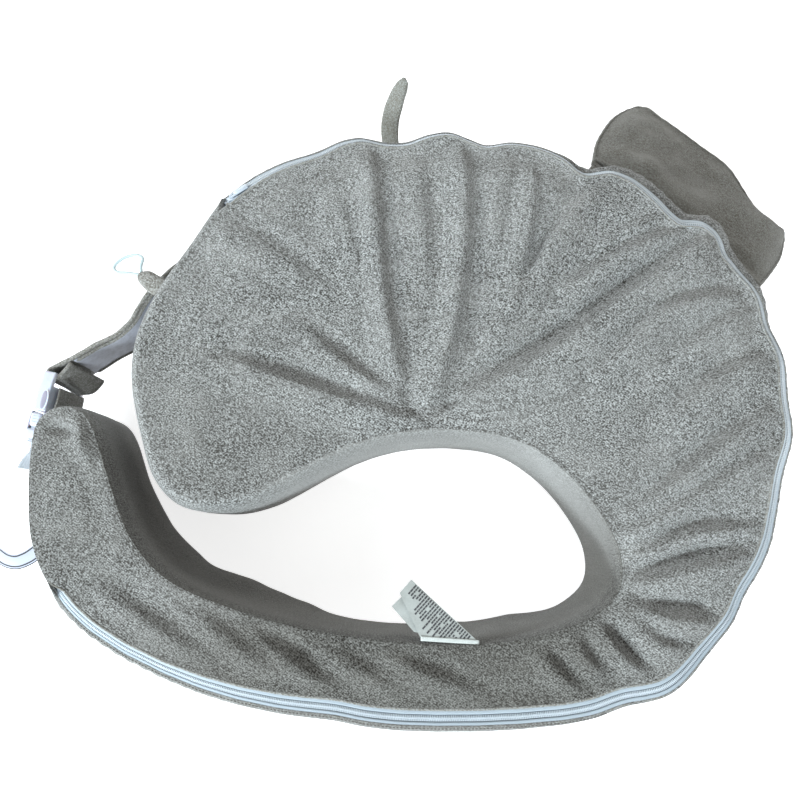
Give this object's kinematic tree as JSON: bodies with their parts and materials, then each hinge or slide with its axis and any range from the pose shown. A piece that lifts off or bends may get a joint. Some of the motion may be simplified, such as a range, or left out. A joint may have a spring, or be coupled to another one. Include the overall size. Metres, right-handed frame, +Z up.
{
  "type": "nursing pillow",
  "caption": "C-shaped nursing pillow: foam in a fleece cover with a zip round its top edge, a side pocket, and a waist strap closed by a side-release buckle.",
  "frame": {"origin": "on the floor under the middle of the object's bounding box", "axes": "+X along the longest side, from the strap and buckle towards the zipped wide body; +Y from the thin arm towards the zipped back; +Z up, out of the top panel that the baby lies on"},
  "size_m": [0.7081, 0.5446, 0.112],
  "materials": {
    "foam": "open-cell foam, pale cream",
    "fleece": "short-pile fleece, warm grey",
    "fleece_dark": "short-pile fleece, darker grey",
    "zip_tape": "woven tape, pale blue-white",
    "zip_coil": "moulded plastic, white",
    "buckle_plastic": "moulded plastic, white",
    "webbing": "woven webbing, white",
    "lining": "smooth woven lining, blue-grey",
    "elastic": "braided elastic, white",
    "label_satin": "satin label, pale grey",
    "label_ribbon": "woven ribbon label, white"
  },
  "bodies": {
    "pillow": {"foam_core": "foam", "cover_top_panel": "fleece", "cover_bottom_panel": "fleece", "cover_outer_wall": "fleece", "cover_inner_wall": "fleece", "zipper_lower_tape": "zip_tape", "zipper_upper_tape": "zip_tape", "zipper_lower_coil": "zip_coil", "zipper_upper_coil": "zip_coil", "zipper_top_stop": "zip_coil", "zipper_bottom_stop": "zip_coil", "pocket_root_strip": "fleece_dark", "buckle_female": "buckle_plastic", "buckle_webbing": "webbing", "hanging_loop": "fleece", "loop_tab": "fleece", "elastic_loop": "elastic", "care_label_front": "label_satin", "care_label_back": "label_satin", "ribbon_label": "label_ribbon"},
    "zip_slider": {"zipper_slider": "zip_coil"},
    "zip_pull": {"zipper_pull": "zip_coil"},
    "pocket": {"pocket_back_panel": "fleece_dark", "pocket_front_panel": "fleece_dark", "pocket_hem": "fleece_dark"},
    "strap": {"strap_outer": "fleece_dark", "strap_lining": "lining", "buckle_male": "buckle_plastic"},
    "prong_upper": {"buckle_prong_upper": "buckle_plastic"},
    "prong_lower": {"buckle_prong_lower": "buckle_plastic"}
  },
  "joints": [
    {"name": "zip_travel", "type": "hinge", "parent": "pillow", "child": "zip_slider", "pos_m": [0.0296, -0.1087, 0], "axis": [0, 0, -1], "range_deg": [0, 72]},
    {"name": "zip_pull_swing", "type": "hinge", "parent": "zip_slider", "child": "zip_pull", "pos_m": [-0.14698, 0.14823, 0.10714], "axis": [0.4217, -0.6136, 0.6675], "range_deg": [0, 150]},
    {"name": "pocket_lift", "type": "hinge", "parent": "pillow", "child": "pocket", "pos_m": [0.22985, 0.13911, 0.066], "axis": [0.774, -0.6332, 0], "range_deg": [0, 60]},
    {"name": "buckle_release", "type": "slide", "parent": "pillow", "child": "strap", "axis": [0.1822, 0.9833, 0], "range_m": [0, 0.028]},
    {"name": "prong_upper_squeeze", "type": "hinge", "parent": "strap", "child": "prong_upper", "pos_m": [-0.3014, -0.02836, 0.0725], "axis": [0.9833, -0.1822, 0], "range_deg": [0, 5], "stiffness_Nm_per_rad": 2},
    {"name": "prong_lower_squeeze", "type": "hinge", "parent": "strap", "child": "prong_lower", "pos_m": [-0.3014, -0.02836, 0.0275], "axis": [-0.9833, 0.1822, 0], "range_deg": [0, 5], "stiffness_Nm_per_rad": 2}
  ]
}
